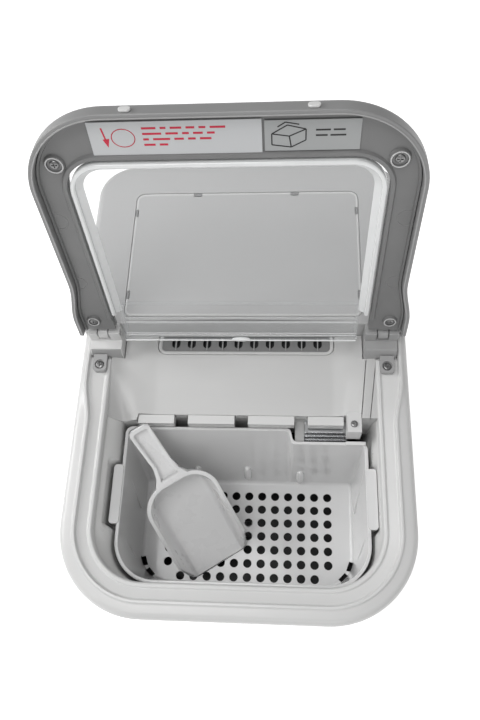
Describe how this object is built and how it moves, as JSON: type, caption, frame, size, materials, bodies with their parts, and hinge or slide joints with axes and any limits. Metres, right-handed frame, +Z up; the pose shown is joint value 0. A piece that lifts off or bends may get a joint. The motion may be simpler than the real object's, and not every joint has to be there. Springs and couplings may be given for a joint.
{
  "type": "countertop ice maker",
  "caption": "Portable ice maker with a hinged windowed lid standing open, a lift-out perforated ice basket and a scoop lying in it.",
  "frame": {"origin": "centre of the housing footprint, on the surface the feet stand on", "axes": "+Z up, +Y to the rear of the machine, +X to the right seen from the front"},
  "size_m": [0.241, 0.347, 0.5075],
  "materials": {
    "white_shell": "satin white moulding",
    "lid_silver": "silver-grey satin paint on plastic",
    "clear": "clear moulded plastic",
    "basket_plastic": "translucent light grey",
    "scoop_plastic": "light grey",
    "steel": "bright steel",
    "dark_plastic": "dark grey",
    "rubber_foot": "matte",
    "sticker": "printed film, no lettering",
    "copper_green": "circuit board"
  },
  "bodies": {
    "housing": {"housing_shell": "white_shell", "base_pan": "white_shell", "foot_fl": "rubber_foot", "foot_fr": "rubber_foot", "foot_rl": "rubber_foot", "foot_rr": "rubber_foot", "top_rim": "white_shell", "rear_deck": "white_shell", "rear_cover": "white_shell", "chamber_cover": "white_shell", "hinge_block_left": "white_shell", "hinge_block_right": "white_shell", "hinge_pin_left": "steel", "hinge_pin_right": "steel", "hinge_screw_left": "steel", "hinge_screw_right": "steel", "bay_liner": "white_shell", "shovel_rails": "steel", "sensor_block": "white_shell", "sensor_screw": "steel", "evaporator": "steel", "tray_motor": "dark_plastic", "tray_bracket": "white_shell", "compressor": "dark_plastic", "condenser": "steel", "fan_shroud": "dark_plastic", "drain_tube": "clear", "water_pump": "white_shell", "control_panel": "dark_plastic", "indicator_lens": "clear", "control_board": "copper_green", "rear_grille": "white_shell", "side_grille_left": "white_shell", "side_grille_right": "white_shell", "cord_gland": "dark_plastic"},
    "lid": {"lid_frame": "lid_silver", "lid_liner": "lid_silver", "lid_window": "clear", "lid_screw_fl": "steel", "lid_screw_fr": "steel", "lid_screw_rl": "steel", "lid_screw_rr": "steel", "label_left": "sticker", "label_right": "sticker", "lid_bumper_left": "white_shell", "lid_bumper_right": "white_shell"},
    "basket": {"ice_basket": "basket_plastic"},
    "scoop": {"scoop": "scoop_plastic"},
    "shovel": {"ice_shovel": "white_shell"},
    "tray": {"water_tray": "white_shell"},
    "fan": {"fan": "dark_plastic"},
    "power_key": {"power_button": "steel"},
    "size_key": {"size_button": "steel"},
    "cap": {"drain_cap": "dark_plastic"}
  },
  "joints": [
    {"name": "lid_hinge", "type": "hinge", "parent": "housing", "child": "lid", "pos_m": [0, 0.0233, 0.3228], "axis": [-1, 0, 0], "range_deg": [-103.3, 0]},
    {"name": "basket_lift", "type": "slide", "parent": "housing", "child": "basket", "axis": [0, 0, 1], "range_m": [0, 0.13]},
    {"name": "scoop_lift", "type": "slide", "parent": "basket", "child": "scoop", "axis": [0, 0, 1], "range_m": [0, 0.11]},
    {"name": "tray_tilt", "type": "hinge", "parent": "housing", "child": "tray", "pos_m": [0, -0.004, 0.252], "axis": [1, 0, 0], "range_deg": [0, 25]},
    {"name": "shovel_slide", "type": "slide", "parent": "housing", "child": "shovel", "axis": [0, -1, 0], "range_m": [0, 0.0045]},
    {"name": "fan_spin", "type": "hinge", "parent": "housing", "child": "fan", "pos_m": [0.0816, 0.07, 0.115], "axis": [1, 0, 0], "continuous": true},
    {"name": "power_press", "type": "slide", "parent": "housing", "child": "power_key", "axis": [0, 1, 0], "range_m": [0, 0.0012], "stiffness_N_per_m": 400, "springref_m": -0.001},
    {"name": "size_press", "type": "slide", "parent": "housing", "child": "size_key", "axis": [0, 1, 0], "range_m": [0, 0.0012], "stiffness_N_per_m": 400, "springref_m": -0.001},
    {"name": "drain_cap_turn", "type": "hinge", "parent": "housing", "child": "cap", "pos_m": [0, -0.095, 0.008], "axis": [0, 0, 1], "range_deg": [0, 90]}
  ],
  "couplings": [
    {"joint": "tray_tilt", "follows": "shovel_slide", "rad_per_m": 96.9}
  ]
}
